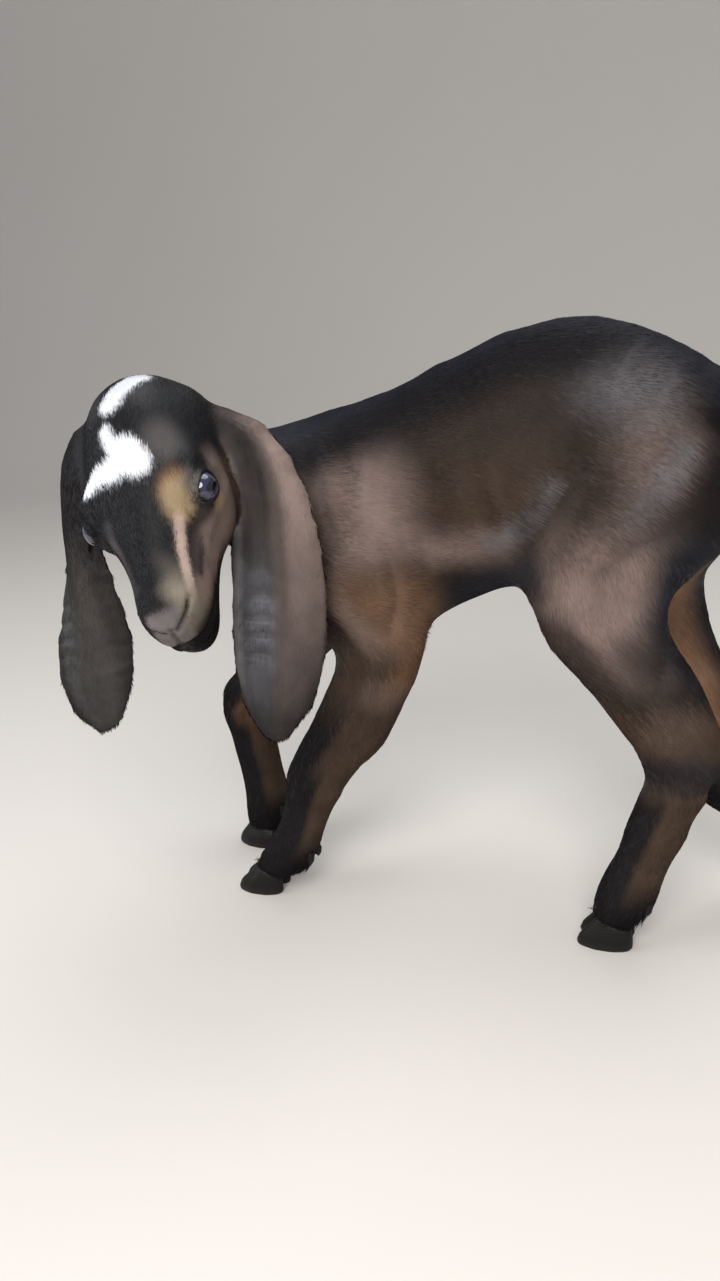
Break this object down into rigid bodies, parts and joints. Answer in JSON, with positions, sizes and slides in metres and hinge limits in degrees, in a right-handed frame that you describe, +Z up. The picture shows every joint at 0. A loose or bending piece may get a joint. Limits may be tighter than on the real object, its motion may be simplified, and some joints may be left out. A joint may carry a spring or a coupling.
{
  "type": "goat",
  "caption": "Still, life-size goat kid in mid-step, with a lowered head turned to its left, a bent neck, long hanging ears and cloven hooves flat on the floor.",
  "frame": {"origin": "middle of the bounding box, on the floor", "axes": "-X the way the kid walks, +Y its right side, +Z up"},
  "size_m": [0.4984, 0.296, 0.4338],
  "materials": {
    "black_coat": "short glossy black hair",
    "brown_coat": "short glossy dark brown hair",
    "eye": "wet, dark",
    "horn": "black horn"
  },
  "bodies": {
    "root": {"eye_left": "eye", "eye_right": "eye", "head": "black_coat", "neck": "brown_coat", "ear_left": "brown_coat", "ear_right": "brown_coat", "trunk": "brown_coat", "tail": "black_coat", "leg_fore_left_upper": "brown_coat", "leg_fore_left_lower": "black_coat", "hoof_fore_left_outer": "horn", "dewclaw_fore_left_outer": "horn", "hoof_fore_left_inner": "horn", "dewclaw_fore_left_inner": "horn", "leg_fore_right_upper": "brown_coat", "leg_fore_right_lower": "black_coat", "hoof_fore_right_inner": "horn", "dewclaw_fore_right_inner": "horn", "hoof_fore_right_outer": "horn", "dewclaw_fore_right_outer": "horn", "leg_hind_left_upper": "brown_coat", "leg_hind_left_lower": "black_coat", "hoof_hind_left_outer": "horn", "dewclaw_hind_left_outer": "horn", "hoof_hind_left_inner": "horn", "dewclaw_hind_left_inner": "horn", "leg_hind_right_upper": "brown_coat", "leg_hind_right_lower": "black_coat", "hoof_hind_right_inner": "horn", "dewclaw_hind_right_inner": "horn", "hoof_hind_right_outer": "horn", "dewclaw_hind_right_outer": "horn"}
  },
  "joints": []
}
